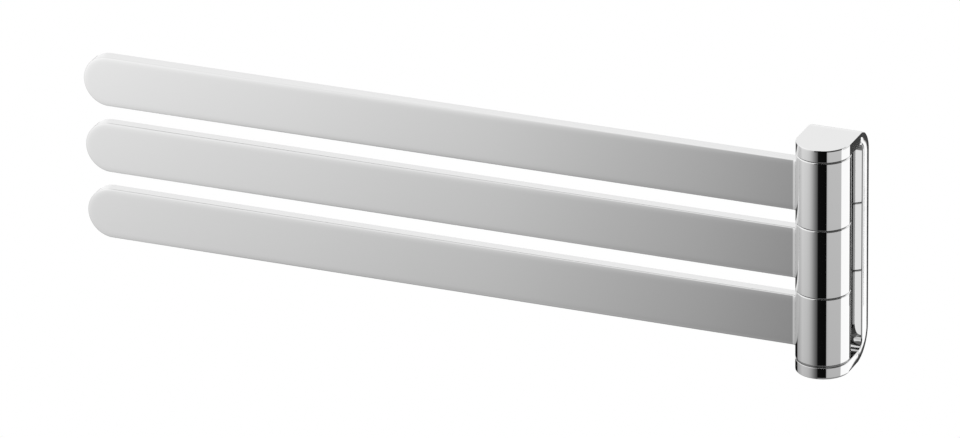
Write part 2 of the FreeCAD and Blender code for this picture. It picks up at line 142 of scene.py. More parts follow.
def studio_floor():
    """Pale floor, well below the part."""
    spots = [(x * FLOOR_REACH, y * FLOOR_REACH, FLOOR) for x, y in ((-1, -1), (1, -1), (1, 1), (-1, 1))]
    floor = new_object("floor", spots, [(0, 1, 2, 3)])
    material, tree, strength = shining("pale_floor")
    path = tree.nodes.new("ShaderNodeLightPath")
    tree.links.new(mixed(tree, path.outputs["Is Camera Ray"], FLOOR_MIRRORED, FLOOR_SEEN), strength)
    floor.data.materials.append(material)


# The drum of panels. All its angles are degrees from the camera to the right, all its levels are the
# greys that the chrome shows, and it runs smoothly from each of these stops to the next. The levels
# were matched to the stripes that the hubs and the strap show in the photograph.
PANELS = [
    (-180, 150), (-174, 72), (-139, 66), (-134, 135), (-128, 170),                    # behind
    (-118, 176), (-98, 199), (-86, 195), (-74, 192), (-62, 183),                      # left wing
    (-50, 158), (-40, 124), (-28, 78),
    (-24, 13), (9.7, 9),                                                              # dark front
    (11.5, 168), (16, 178), (22, 182), (74, 183),                                     # right wing
    (77, 250), (136.9, 250),                                                          # white, right
    (137.2, 64), (150, 48), (168, 90), (172, 150), (180, 150)]                        # behind
# Smaller panels on it: from and to, foot and top, level. The side of the top plate shows the first two
# and the left of the hubs the third; the fourth keeps swung arms from vanishing in white from behind.
SMALL_PANELS = [(133.5, 136.39, -0.47, 0.12, 60), (136.39, 137.1, -0.342, 0.12, 60),
                (-177, -136.5, -0.6, -0.455, 15), (80, 133.4, -0.32, 0.12, 212)]
LEFT_WING_END, RIGHT_WING = -26, (9.7, 76)
LEFT_GAIN, RIGHT_GAIN = 1.73, 0.6          # the wings grow brighter upward, as exp(gain * rise)
RISE = (-0.09, 0.3)                        # lowest and highest rise over where the polish looks
SLOPE = 0.434                              # how far down the polish looks for each metre out
NEAR_PANELS = (-136, -26)                  # these stand near the part, the others further out
NEAR, FAR = 0.62, 1.0
TALL_PANELS = (-41, 76)                    # these stand high, and are dark above their brow
BROW, BROW_LEVEL = -0.25, 70               # height of that brow for each metre out
LOW_TOP, TALL_TOP = 0.12, 2.6
REAR, REAR_BROW, REAR_LEVEL = (-128, 140), -0.12, 236     # past these angles, bright above a brow
DRUM_COLUMNS, LOW_ROWS, TALL_ROWS = 181, 37, 9
STOP_STEP, EDGE_STEP, ROW_STEP = 0.3, 0.01, 0.5 * MM      # more columns and rows by stops and edges


def panel_distance(angle):
    return NEAR if NEAR_PANELS[0] < angle < NEAR_PANELS[1] else FAR


def panel_level(angle, z):
    """Linear brightness of the drum at an angle and a height."""
    value = grey(np.interp(angle, *zip(*PANELS)))
    rise = min(max(z + SLOPE * panel_distance(angle), RISE[0]), RISE[1])
    if angle < LEFT_WING_END:
        value *= math.exp(LEFT_GAIN * rise)
    elif RIGHT_WING[0] < angle < RIGHT_WING[1]:
        value *= math.exp(RIGHT_GAIN * rise)
    for start, end, foot, top, level in SMALL_PANELS:
        if start < angle < end and foot < z < top:
            value = grey(level)
    if not REAR[0] < angle < REAR[1] and z > REAR_BROW:
        value = grey(REAR_LEVEL)
    if z > BROW * panel_distance(angle) and TALL_PANELS[0] < angle < TALL_PANELS[1]:
        value = min(value, grey(BROW_LEVEL))
    return value / CHROME


def studio_panels():
    """A drum of light and dark panels round the part, which only its polish sees."""
    angles = set(np.linspace(-180, 180, DRUM_COLUMNS))
    for stop, _ in PANELS:
        angles |= {stop, max(stop - STOP_STEP, -180), min(stop + STOP_STEP, 180)}
    sides = [edge for panel in SMALL_PANELS for edge in panel[:2]]
    for edge in (*NEAR_PANELS, *TALL_PANELS, *REAR, *sides):
        angles |= {edge - EDGE_STEP, edge + EDGE_STEP}
    angles = sorted(angles)
    rows = {edge + step for panel in SMALL_PANELS for edge in panel[2:4]
            for step in (-ROW_STEP, ROW_STEP)}
    rows |= {*np.linspace(FLOOR, LOW_TOP, LOW_ROWS), *np.linspace(LOW_TOP, TALL_TOP, TALL_ROWS)}
    rows = sorted(rows)

    verts, shades, faces = [], [], []
    for angle in angles:
        turn = math.radians(angle)
        flat = math.cos(turn) * from_camera(0, 1) + math.sin(turn) * from_camera(1, 0)
        for z in rows:
            verts.append(AXIS + panel_distance(angle) * flat + Vector((0, 0, z)))
            shades.append(panel_level(angle, z))
    count = len(rows)
    for column in range(len(angles) - 1):
        tall = TALL_PANELS[0] <= (angles[column] + angles[column + 1]) / 2 <= TALL_PANELS[1]
        for row in range(count - 1):
            if tall or rows[row + 1] <= LOW_TOP + HAIR:
                first = column * count + row
                faces.append((first, first + count, first + count + 1, first + 1))
    drum = new_object("studio_panels", verts, faces)
    drum.data.attributes.new("shade", "FLOAT", "POINT").data.foreach_set("value", shades)
    material, tree, strength = shining("studio_panels")
    shade = tree.nodes.new("ShaderNodeAttribute")
    shade.attribute_name = "shade"
    tree.links.new(shade.outputs["Fac"], strength)
    drum.data.materials.append(material)
    drum.visible_camera = False
    drum.visible_diffuse = False
    drum.visible_shadow = False
    drum.visible_transmission = False


SKY, SKY_BEHIND = 0.896 / CHROME, 0.8 / CHROME
BEHIND = ((0, -1, 0), 0.55, 0.8)           # away from the camera; the cosines between which it sets in
# Dimmer patches: direction as for from_camera, the cosines between which each sets in, its level.
SKY_PATCHES = [((-0.678, 0.632, 0.375), 0.84, 0.94, 0.72 / CHROME),
               ((-0.31, -0.08, 0.947), 0.98, 0.99, 0.7 / CHROME),
               ((0.68, 0.0, 0.73), 0.87, 0.93, 0.14 / CHROME)]


def soft_daylight():
    """White all round; the polish sees it a little weaker behind the part, and dimmer in patches."""
    world = bpy.data.worlds.new("studio_white")
    world.use_nodes = True
    tree = world.node_tree
    tree.nodes.clear()
    out = tree.nodes.new("ShaderNodeOutputWorld")
    back = tree.nodes.new("ShaderNodeBackground")
    back.inputs["Color"].default_value = (1, 1, 1, 1)
    path = tree.nodes.new("ShaderNodeLightPath")
    place = tree.nodes.new("ShaderNodeTexCoord")

    def toward(aim, start, end):
        """From 0 to 1 as a ray turns toward an aim."""
        turn = tree.nodes.new("ShaderNodeVectorMath")
        turn.operation = "DOT_PRODUCT"
        turn.inputs[1].default_value = from_camera(*aim)
        fade = tree.nodes.new("ShaderNodeMapRange")
        fade.inputs["From Min"].default_value = start
        fade.inputs["From Max"].default_value = end
        tree.links.new(place.outputs["Generated"], turn.inputs[0])
        tree.links.new(turn.outputs["Value"], fade.inputs["Value"])
        return fade.outputs["Result"]

    shown = mixed(tree, toward(*BEHIND), SKY, SKY_BEHIND)
    for aim, start, end, level in SKY_PATCHES:
        shown = mixed(tree, toward(aim, start, end), shown, level)
    tree.links.new(mixed(tree, path.outputs["Is Camera Ray"], shown, 1.0), back.inputs["Strength"])
    tree.links.new(back.outputs["Background"], out.inputs["Surface"])
    bpy.context.scene.world = world
    bpy.context.scene.view_settings.view_transform = "Standard"


# ------------------------------------------------------------ formulas in node trees

class Term:
    """A number inside a node tree, so that a formula reads as one."""

    def __init__(self, socket):
        self.socket = socket

    def math(self, operation, *others):
        tree = self.socket.id_data
        node = tree.nodes.new("ShaderNodeMath")
        node.operation = operation
        for index, value in enumerate((self, *others)):
            if isinstance(value, Term):
                tree.links.new(value.socket, node.inputs[index])
            else:
                node.inputs[index].default_value = value
        return Term(node.outputs[0])

    def __add__(self, other):
        return self.math("ADD", other)

    def __sub__(self, other):
        return self.math("SUBTRACT", other)

    def __rsub__(self, other):
        return self * -1 + other

    def __mul__(self, other):
        return self.math("MULTIPLY", other)

    def __truediv__(self, other):
        return self.math("DIVIDE", other)

    def clamped(self):
        """Held between 0 and 1."""
        return self.math("MAXIMUM", 0.0).math("MINIMUM", 1.0)


def between(low, high, share):
    """From low to high as share goes from 0 to 1."""
    return low + (high - low) * share


# ------------------------------------------------------------ finishes

SOCKETS = {1: "NodeSocketFloat", 3: "NodeSocketVector", 4: "NodeSocketColor"}      # by how many numbers
COLOUR_A, COLOUR_B, COLOUR_RESULT = 6, 7, 2          # the Mix node's sockets for colours
NOISE_LOW, NOISE_SPAN = 0.35, 0.3                    # most of a noise lies in this band


def new_effect(name, sizes, gives=("Roughness", "Height")):
    """An empty shader group with a place and named values; returns its tree, input node and terms."""
    tree = bpy.data.node_groups.new(name, "ShaderNodeTree")
    tree.interface.new_socket("Place", in_out="INPUT", socket_type="NodeSocketVector")
    for size, value in sizes.items():
        socket = tree.interface.new_socket(size, in_out="INPUT", socket_type=SOCKETS[np.size(value)])
        socket.default_value = value
    for output in gives:
        kind = "NodeSocketColor" if output == "Colour" else "NodeSocketFloat"
        tree.interface.new_socket(output, in_out="OUTPUT", socket_type=kind)
    entry = tree.nodes.new("NodeGroupInput")
    return tree, entry, {size: Term(entry.outputs[size]) for size in sizes}


def end_effect(tree, **gives):
    """Join each named term to the output of its name."""
    leave = tree.nodes.new("NodeGroupOutput")
    for output, term in gives.items():
        tree.links.new(term.socket, leave.inputs[output])
    return tree


def scaled(place, by):
    """A vector socket times a vector or a number."""
    tree = place.id_data
    node = tree.nodes.new("ShaderNodeVectorMath")
    node.operation = "MULTIPLY" if by.socket.type == "VECTOR" else "SCALE"
    tree.links.new(place, node.inputs[0])
    tree.links.new(by.socket, node.inputs[1] if node.operation == "MULTIPLY" else node.inputs["Scale"])
    return node.outputs["Vector"]


def noise(place, detail, roughness=0.5):
    """Noise at a place that is scaled already."""
    tree = place.id_data
    node = tree.nodes.new("ShaderNodeTexNoise")
    node.inputs["Scale"].default_value = 1
    node.inputs["Detail"].default_value = detail
    node.inputs["Roughness"].default_value = roughness
    tree.links.new(place, node.inputs["Vector"])
    return Term(node.outputs[0])


def blend(first, second, part):
    """Two noises, the first with this part, stretched so that they fill the range from 0 to 1."""
    return ((first * part + second * (1 - part) - NOISE_LOW) / NOISE_SPAN).clamped()


def polish_marks():
    """Marks of the polishing wheel, drawn out along Grain, and a broad unevenness."""
    tree, entry, value = new_effect("polish_marks", {
        "Grain": (60.0, 60.0, 60.0), "Cloud": 40.0, "Smooth": 0.01, "Dull": 0.03, "Ripple": 0.5})
    marks = noise(scaled(entry.outputs["Place"], value["Grain"]), detail=4, roughness=0.6)
    cloud = noise(scaled(entry.outputs["Place"], value["Cloud"]), detail=2)
    return end_effect(tree, Roughness=between(value["Smooth"], value["Dull"], blend(marks, cloud, 0.6)),
                      Height=marks * (1 - value["Ripple"]) + cloud * value["Ripple"])


def turning_marks():
    """Fine rings left by a lathe round an upright axis, on the side and on the ends."""
    tree, entry, value = new_effect("turning_marks", {
        "Axis": tuple(AXIS), "Lines": 6000.0, "Smooth": 0.15, "Dull": 0.3})
    aside = tree.nodes.new("ShaderNodeVectorMath")
    aside.operation = "SUBTRACT"
    tree.links.new(entry.outputs["Place"], aside.inputs[0])
    tree.links.new(entry.outputs["Axis"], aside.inputs[1])
    split = tree.nodes.new("ShaderNodeSeparateXYZ")
    tree.links.new(aside.outputs["Vector"], split.inputs["Vector"])
    x, y, z = (Term(split.outputs[axis]) for axis in "XYZ")
    along = tree.nodes.new("ShaderNodeCombineXYZ")
    tree.links.new(((x * x + y * y).math("SQRT") * value["Lines"]).socket, along.inputs["X"])
    tree.links.new((z * value["Lines"]).socket, along.inputs["Z"])
    lines = noise(along.outputs["Vector"], detail=3, roughness=0.6)
    return end_effect(tree, Roughness=between(value["Smooth"], value["Dull"], lines), Height=lines)


def mottling():
    """Cloudy change between two colours, with a fine grain: plating, blueing and moulded plastic."""
    tree, entry, value = new_effect("mottling", {
        "Patches": 150.0, "Grain": 2500.0, "Smooth": 0.3, "Dull": 0.45,
        "Dark": (0.5, 0.5, 0.5, 1.0), "Light": (0.6, 0.6, 0.6, 1.0)}, ("Colour", "Roughness", "Height"))
    patches = noise(scaled(entry.outputs["Place"], value["Patches"]), detail=4, roughness=0.55)
    grain = noise(scaled(entry.outputs["Place"], value["Grain"]), detail=2)
    mix = tree.nodes.new("ShaderNodeMix")
    mix.data_type = "RGBA"
    tree.links.new(blend(patches, grain, 0.8).socket, mix.inputs["Factor"])
    tree.links.new(entry.outputs["Dark"], mix.inputs[COLOUR_A])
    tree.links.new(entry.outputs["Light"], mix.inputs[COLOUR_B])
    return end_effect(tree, Colour=Term(mix.outputs[COLOUR_RESULT]), Height=grain,
                      Roughness=between(value["Smooth"], value["Dull"], patches))


def finish(slot, metallic, effect, values, relief, colour=None):
    """A material: its colour here or from the effect, its roughness and relief from the effect."""
    material = bpy.data.materials.new(slot)
    material.use_nodes = True
    tree = material.node_tree
    shader = tree.nodes["Principled BSDF"]
    shader.inputs["Metallic"].default_value = metallic
    place = tree.nodes.new("ShaderNodeTexCoord")
    marks = tree.nodes.new("ShaderNodeGroup")
    marks.node_tree = effect
    tree.links.new(place.outputs["Object"], marks.inputs["Place"])
    for name, value in values.items():
        marks.inputs[name].default_value = value
    tree.links.new(marks.outputs["Roughness"], shader.inputs["Roughness"])
    if colour:
        shader.inputs["Base Color"].default_value = (*colour, 1)
    else:
        tree.links.new(marks.outputs["Colour"], shader.inputs["Base Color"])
    bump = tree.nodes.new("ShaderNodeBump")
    bump.inputs["Strength"].default_value = 1
    bump.inputs["Distance"].default_value = relief
    tree.links.new(marks.outputs["Height"], bump.inputs["Height"])
    tree.links.new(bump.outputs["Normal"], shader.inputs["Normal"])
    return material


POLISH, TURNED, MOTTLED = polish_marks(), turning_marks(), mottling()
# Each finish: metallic or not, its effect and the effect's values, its relief in metres, its colour.
LOOKS = {
    "polished_chrome": (1, POLISH, {
        "Grain": (120, 120, 60), "Cloud": 45, "Smooth": 0.01, "Dull": 0.03, "Ripple": 0.8},
        8e-6, (CHROME,) * 3),
    "polished_bar": (1, POLISH, {
        "Grain": (9, 500, 1400), "Cloud": 30, "Smooth": 0.1, "Dull": 0.15, "Ripple": 0},
        1.2e-6, (CHROME,) * 3),
    # The ring's low colour is partly its own dark finish and partly painted shade for the gap between
    # the lowest hub and the bottom plate.
    "ring_steel": (1, TURNED, {"Lines": 9000, "Smooth": 0.1, "Dull": 0.2}, 1e-6, (0.28,) * 3),
    "spindle_steel": (1, TURNED, {"Lines": 7000, "Smooth": 0.2, "Dull": 0.35}, 2e-6,
                      (0.56, 0.56, 0.57)),
    "screw_steel": (1, TURNED, {"Lines": 5000, "Smooth": 0.2, "Dull": 0.34}, 3e-6,
                    (0.58, 0.58, 0.6)),
    "plated_steel": (1, MOTTLED, {
        "Patches": 160, "Grain": 3000, "Smooth": 0.28, "Dull": 0.46,
        "Dark": (0.5, 0.52, 0.55, 1), "Light": (0.66, 0.67, 0.68, 1)}, 8e-6),
    "spring_steel": (1, MOTTLED, {
        "Patches": 300, "Grain": 4000, "Smooth": 0.25, "Dull": 0.4,
        "Dark": (0.12, 0.14, 0.22, 1), "Light": (0.3, 0.3, 0.34, 1)}, 4e-6),
    "liner_plastic": (0, MOTTLED, {
        "Patches": 120, "Grain": 3500, "Smooth": 0.38, "Dull": 0.5,
        "Dark": (0.8, 0.79, 0.75, 1), "Light": (0.87, 0.87, 0.84, 1)}, 1e-5),
    "washer_plastic": (0, MOTTLED, {
        "Patches": 200, "Grain": 4500, "Smooth": 0.4, "Dull": 0.5,
        "Dark": (0.76, 0.76, 0.75, 1), "Light": (0.84, 0.84, 0.83, 1)}, 6e-6),
}
FINISHES = {slot: finish(slot, *look) for slot, look in LOOKS.items()}


# ------------------------------------------------------------ mesh tools

def quarter(steps):
    """(sin, cos) of a quarter turn in even steps."""
    turns = [QUARTER_TURN * step / steps for step in range(steps + 1)]
    return [(math.sin(turn), math.cos(turn)) for turn in turns]


def skin(rings):
    """Vertices, and quads between neighbouring closed rings of points."""
    rings = np.asarray(rings, float)
    stations, around, _ = rings.shape
    faces = []
    for i in range(stations - 1):
        for j in range(around):
            k = (j + 1) % around
            faces.append((i * around + j, i * around + k, (i + 1) * around + k, (i + 1) * around + j))
    return rings.reshape(-1, 3), faces


def weld(mesh):
    """Close the seams and poles of a skin, and turn its faces outward."""
    work = bmesh.new()
    work.from_mesh(mesh)
    bmesh.ops.remove_doubles(work, verts=work.verts, dist=2 * HAIR)
    bmesh.ops.dissolve_degenerate(work, edges=work.edges, dist=2 * HAIR)
    bmesh.ops.recalc_face_normals(work, faces=work.faces)
    if work.calc_volume(signed=True) < 0:
        bmesh.ops.reverse_faces(work, faces=work.faces)
    work.to_mesh(mesh)
    work.free()


def plain_mesh(obj):
    """Work an object's modifiers into its mesh."""
    shown = obj.evaluated_get(bpy.context.evaluated_depsgraph_get())
    mesh = bpy.data.meshes.new_from_object(shown)
    obj.modifiers.clear()
    obj.data = mesh


def dress(obj, node, body, slot, sharp=35):
    """Smooth shading that leaves flat faces flat; then the piece stands for its CAD node."""
    weld(obj.data)
    obj.data.materials.clear()
    obj.data.materials.append(FINISHES[slot])
    obj.data.shade_smooth()
    obj.data.set_sharp_from_angle(angle=math.radians(sharp))
    weigh = obj.modifiers.new("flat_faces", "WEIGHTED_NORMAL")
    weigh.keep_sharp = True
    weigh.weight = 100
    plain_mesh(obj)
    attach(obj, body)
    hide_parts(node)


def round_outline(radius, steps=64):
    """Outline of a hole, grown by an offset."""
    turns = [2 * math.pi * k / steps for k in range(steps)]
    return lambda offset: [((radius + offset) * math.cos(turn), (radius + offset) * math.sin(turn))
                           for turn in turns]


def slab_outline(half_wide, half_high, corner, steps=10):
    """Outline of a slot with round corners, grown by an offset."""
    def outline(offset):
        spots = []
        for right, up, start in ((1, 1, 0), (-1, 1, 90), (-1, -1, 180), (1, -1, 270)):
            for k in range(steps + 1):
                turn = math.radians(start + 90 * k / steps)
                spots.append((right * (half_wide - corner) + (corner + offset) * math.cos(turn),
                              up * (half_high - corner) + (corner + offset) * math.sin(turn)))
        return spots
    return outline


def cut(obj, outline, levels, spot):
    """Take a hollow out of an object: its outline at each level, grown by that level's offset."""
    rings = [[spot(u, v, level) for u, v in outline(offset)] for level, offset in levels]
    verts, faces = skin(rings)
    count = len(rings[0])
    faces += [tuple(reversed(range(count))), tuple(range(len(verts) - count, len(verts)))]
    tool = new_object("cutter", verts, faces)
    weld(tool.data)
    hollow = obj.modifiers.new("cut", "BOOLEAN")
    hollow.operation, hollow.solver, hollow.object = "DIFFERENCE", "EXACT", tool
    plain_mesh(obj)
    bpy.data.objects.remove(tool)


# ------------------------------------------------------------ trees that make pieces

def new_tree(name, sizes):
    """A Geometry Nodes tree with named sizes and a finish; returns tree, terms and input node."""
    tree = bpy.data.node_groups.new(name, "GeometryNodeTree")
    tree.interface.new_socket("Geometry", in_out="OUTPUT", socket_type="NodeSocketGeometry")
    for size, value in sizes.items():
        socket = tree.interface.new_socket(size, in_out="INPUT", socket_type="NodeSocketFloat")
        socket.default_value = value
    tree.interface.new_socket("Finish", in_out="INPUT", socket_type="NodeSocketMaterial")
    entry = tree.nodes.new("NodeGroupInput")
    return tree, {size: Term(entry.outputs[size]) for size in sizes}, entry


def end_tree(tree, entry, geometry):
    """Realize Instances and Set Material, then out."""
    real = tree.nodes.new("GeometryNodeRealizeInstances")
    coat = tree.nodes.new("GeometryNodeSetMaterial")
    leave = tree.nodes.new("NodeGroupOutput")
    tree.links.new(geometry, real.inputs["Geometry"])
    tree.links.new(real.outputs["Geometry"], coat.inputs["Geometry"])
    tree.links.new(entry.outputs["Finish"], coat.inputs["Material"])
    tree.links.new(coat.outputs["Geometry"], leave.inputs["Geometry"])


def grow(name, tree, sizes, slot):
    """Run a tree with these sizes and keep the result as a plain mesh."""
    obj = bpy.data.objects.new(name, bpy.data.meshes.new(name))
    bpy.context.scene.collection.objects.link(obj)
    maker = obj.modifiers.new("maker", "NODES")
    maker.node_group = tree
    for item in tree.interface.items_tree:
        if item.in_out == "INPUT":
            is_finish = item.name == "Finish"
            maker[item.identifier] = FINISHES[slot] if is_finish else float(sizes[item.name])
    plain_mesh(obj)
    return obj


# ------------------------------------------------------------ arms

ROUND_STEPS, CROWN_STEPS = 5, 6            # layers in an edge's round, and in the roll-off beside it
STRAIGHT_STEPS, TIP_STEPS = 8, 96          # columns along a bar, and round its tip
BAR_EDGE, BAR_CROWN, BAR_SAG = 0.6 * MM, 3.7 * MM, 0.18 * MM


def arm_tree():
    """Flat bar along X: columns run round its outline, layers from there in to its middle line."""
    columns = 2 * STRAIGHT_STEPS + TIP_STEPS + 3
    layers = 2 * (2 + CROWN_STEPS + ROUND_STEPS)
    tree, size, entry = new_tree("flat_bar", {
        "Butt": -0.018, "Tip": -0.42, "Middle": -0.03, "Level": 0, "Half Height": 0.0144,
        "Half Thickness": 0.0037, "Edge Radius": BAR_EDGE, "Crown Width": BAR_CROWN,
        "Crown Sag": BAR_SAG})
    grid = tree.nodes.new("GeometryNodeMeshGrid")
    grid.inputs["Size X"].default_value = columns - 1
    grid.inputs["Size Y"].default_value = layers - 1
    grid.inputs["Vertices X"].default_value = columns
    grid.inputs["Vertices Y"].default_value = layers
    spot = tree.nodes.new("GeometryNodeInputPosition")
    split = tree.nodes.new("ShaderNodeSeparateXYZ")
    tree.links.new(spot.outputs["Position"], split.inputs["Vector"])
    column = (Term(split.outputs["X"]) + (columns - 1) / 2).math("ROUND")
    layer = (Term(split.outputs["Y"]) + (layers - 1) / 2).math("ROUND")

    # Along the outline: share of the way to the tip, turn round the tip, and 0 at both ends.
    out = (column - 1) / STRAIGHT_STEPS
    share = out.clamped() - (out - 1 - TIP_STEPS / STRAIGHT_STEPS).clamped()
    turn = ((column - 1 - STRAIGHT_STEPS) / TIP_STEPS).clamped() * math.pi
    reach = column.clamped() * ((columns - 1) - column).clamped()

    # Across it: the face, how far in from the outline, and how far the face falls back there.
    face = (layer - (layers - 1) / 2).math("SIGN")
    depth = layer.math("MINIMUM", (layers - 1) - layer)
    psi = ((depth - 1 - CROWN_STEPS) / ROUND_STEPS).clamped() * QUARTER_TURN
    roll = ((depth - 1) / CROWN_STEPS).clamped()
    edge, crown, half = size["Edge Radius"], size["Crown Width"], size["Half Height"]
    inset = (edge * (1 - psi.math("SINE")) + crown * (1 - roll)
             + (half - edge - crown) * (1 - depth.clamped()))
    near = ((edge + crown - inset) / crown).math("MAXIMUM", 0.0)
    fall = size["Crown Sag"] * near * near * near + edge * (1 - psi.math("COSINE"))

    radius = (half - inset) * reach
    x = between(size["Butt"], size["Tip"], share) - turn.math("SINE") * radius
    y = size["Middle"] + face * (size["Half Thickness"] - fall)
    z = size["Level"] + turn.math("COSINE") * radius
    join = tree.nodes.new("ShaderNodeCombineXYZ")
    for axis, term in zip("XYZ", (x, y, z)):
        tree.links.new(term.socket, join.inputs[axis])
    place = tree.nodes.new("GeometryNodeSetPosition")
    tree.links.new(grid.outputs["Mesh"], place.inputs["Geometry"])
    tree.links.new(join.outputs["Vector"], place.inputs["Position"])
    merge = tree.nodes.new("GeometryNodeMergeByDistance")
    merge.inputs["Distance"].default_value = HAIR
    tree.links.new(place.outputs["Geometry"], merge.inputs["Geometry"])
    end_tree(tree, entry, merge.outputs["Geometry"])
    return tree


def arm_blade(arm, tree, butt):
    """The flat bar of an arm, from its hub's butt to its round tip."""
    low, high = corners(f"{arm}_arm")
    half = (high[2] - low[2]) / 2
    blade = grow(f"{arm}_arm_blade", tree, {
        "Butt": butt, "Tip": low[0] + half, "Middle": (low[1] + high[1]) / 2,
        "Level": (low[2] + high[2]) / 2, "Half Height": half, "Half Thickness": (high[1] - low[1]) / 2,
        "Edge Radius": BAR_EDGE, "Crown Width": BAR_CROWN, "Crown Sag": BAR_SAG}, "polished_bar")
    dress(blade, f"{arm}_arm", f"{arm}_rail", "polished_bar")


# ------------------------------------------------------------ rings round the spindle

RING_STEPS, SOFT_STEPS = 192, 3            # round a ring, and round each of its edges
WASHER_BORE, LINER_BORE, BASE_BORE = 4.1 * MM, 4.05 * MM, 9.6 * MM
WASHER_EDGE, LINER_EDGE, BASE_EDGE = 0.05 * MM, 0.2 * MM, 0.12 * MM


def ring_tree():
    """A turned ring with softened edges: its section runs round a circle."""
    tree, size, entry = new_tree("turned_ring", {
        "Outside": 0.0146, "Bore": 0.0096, "Foot": -0.06, "Height": 0.0011, "Middle": -0.0295,
        "Edge Radius": 1e-4})
    section = tree.nodes.new("GeometryNodeCurvePrimitiveQuadrilateral")
    soften = tree.nodes.new("GeometryNodeFilletCurve")
    soften.mode = "POLY"
    soften.inputs["Count"].default_value = SOFT_STEPS
    circle = tree.nodes.new("GeometryNodeCurvePrimitiveCircle")
    circle.inputs["Resolution"].default_value = RING_STEPS
    sweep = tree.nodes.new("GeometryNodeCurveToMesh")
    place = tree.nodes.new("GeometryNodeTransform")
    shift = tree.nodes.new("ShaderNodeCombineXYZ")
    tree.links.new((size["Outside"] - size["Bore"]).socket, section.inputs["Width"])
    tree.links.new(size["Height"].socket, section.inputs["Height"])
    tree.links.new(((size["Outside"] + size["Bore"]) / 2).socket, circle.inputs["Radius"])
    tree.links.new(section.outputs["Curve"], soften.inputs["Curve"])
    tree.links.new(size["Edge Radius"].socket, soften.inputs["Radius"])
    tree.links.new(circle.outputs["Curve"], sweep.inputs["Curve"])
    tree.links.new(soften.outputs["Curve"], sweep.inputs["Profile Curve"])
    tree.links.new(size["Middle"].socket, shift.inputs["Y"])
    tree.links.new((size["Foot"] + size["Height"] / 2).socket, shift.inputs["Z"])
    tree.links.new(sweep.outputs["Mesh"], place.inputs["Geometry"])
    tree.links.new(shift.outputs["Vector"], place.inputs["Translation"])
    end_tree(tree, entry, place.outputs["Geometry"])
    return tree


def turned_ring(name, node, tree, bore, edge, body, slot):
    """A ring that fills its CAD node's box and has this bore."""
    low, high = corners(node)
    ring = grow(name, tree, {
        "Outside": (high[0] - low[0]) / 2, "Bore": bore, "Foot": low[2], "Height": high[2] - low[2],
        "Middle": (low[1] + high[1]) / 2, "Edge Radius": edge}, slot)
    dress(ring, node, body, slot)


# ------------------------------------------------------------ bracket

BACK, TOP_BEND, FOOT_BEND, BEND_INSIDE = 9.0 * MM, 14.0 * MM, 17.0 * MM, 5.5 * MM
CAP_STEPS, PLATE_STEPS, BEND_STEPS = 48, 10, 24      # rings round a plate's front, along it, in a bend
STRAP_EDGE = 0.5 * MM                                # outer edge
MOUTH_EDGE, BACK_EDGE = 0.3 * MM, 0.9 * MM           # inner edge along the plates, and along the back
# Roll-off of the strap's side, in mm: how far it falls back at the edge's round, then pairs of the
# depth from that face and the fall there.
OUTER_FALL, OUTER_ROLL = 0.03, [(1.2, 0.0175), (2.2, 0.006), (3.6, 0.0)]
INNER_FALL, INNER_ROLL = 0.013, [(1.0, 0.004), (1.3, 0.0)]
# It swells in the bends: how much wider it gets, where (0 to 1 along the bend), over how much of it.
TOP_SWELL, FOOT_SWELL = (0.75, 0.5, 0.35), (0.6, 0.0, 0.4)
DEEPEST = 5.6 * MM                                   # but stays within this depth
HOLD = 0.04 * MM                                     # a layer this close to a round keeps its shading
CAVITY = (11.0 * MM, 46.0 * MM, 3.0 * MM, 5.6 * MM)  # half width, half height, corner, depth
LOCK_HOLE, LOCK_AXIS, LOCK_REACH = 2.5 * MM, -4.2 * MM, 4 * MM     # radius, place, way into the cavity
SPINDLE_SEAT = 4.02 * MM
SCREW_PASSAGE, PASSAGE_REACH = 2.75 * MM, 1 * MM     # radius, and way over the bottom plate
COUNTERBORE, COUNTERBORE_STEPS = 4.45 * MM, 96
RIM, PROUD, OVERLAP = 0.25 * MM, 0.1 * MM, 0.2 * MM  # chamfer; how far a cutter stands out, runs on
HEAD_HIGH = 2.6 * MM                                 # height of the spindle screw's head


def strap_layers(edge, swell, back):
    """Points across one side of the strap: which face, depth from it, and how far back they lie."""
    outer_fall, inner_fall = OUTER_FALL * swell ** 2 * MM, INNER_FALL * back * MM
    layers = [("out", STRAP_EDGE * (1 - cos), STRAP_EDGE * (1 - sin) + outer_fall)
              for sin, cos in quarter(ROUND_STEPS)]
    layers += [("out", min(depth * swell * MM, DEEPEST), fall * swell ** 2 * MM)
               for depth, fall in OUTER_ROLL]
    layers += [("in", depth * MM, fall * back * MM) for depth, fall in reversed(INNER_ROLL)]
    layers.append(("in", edge + HOLD, inner_fall))
    return layers + [("in", edge * (1 - cos), edge * (1 - sin) + inner_fall)
                     for sin, cos in reversed(quarter(ROUND_STEPS))]


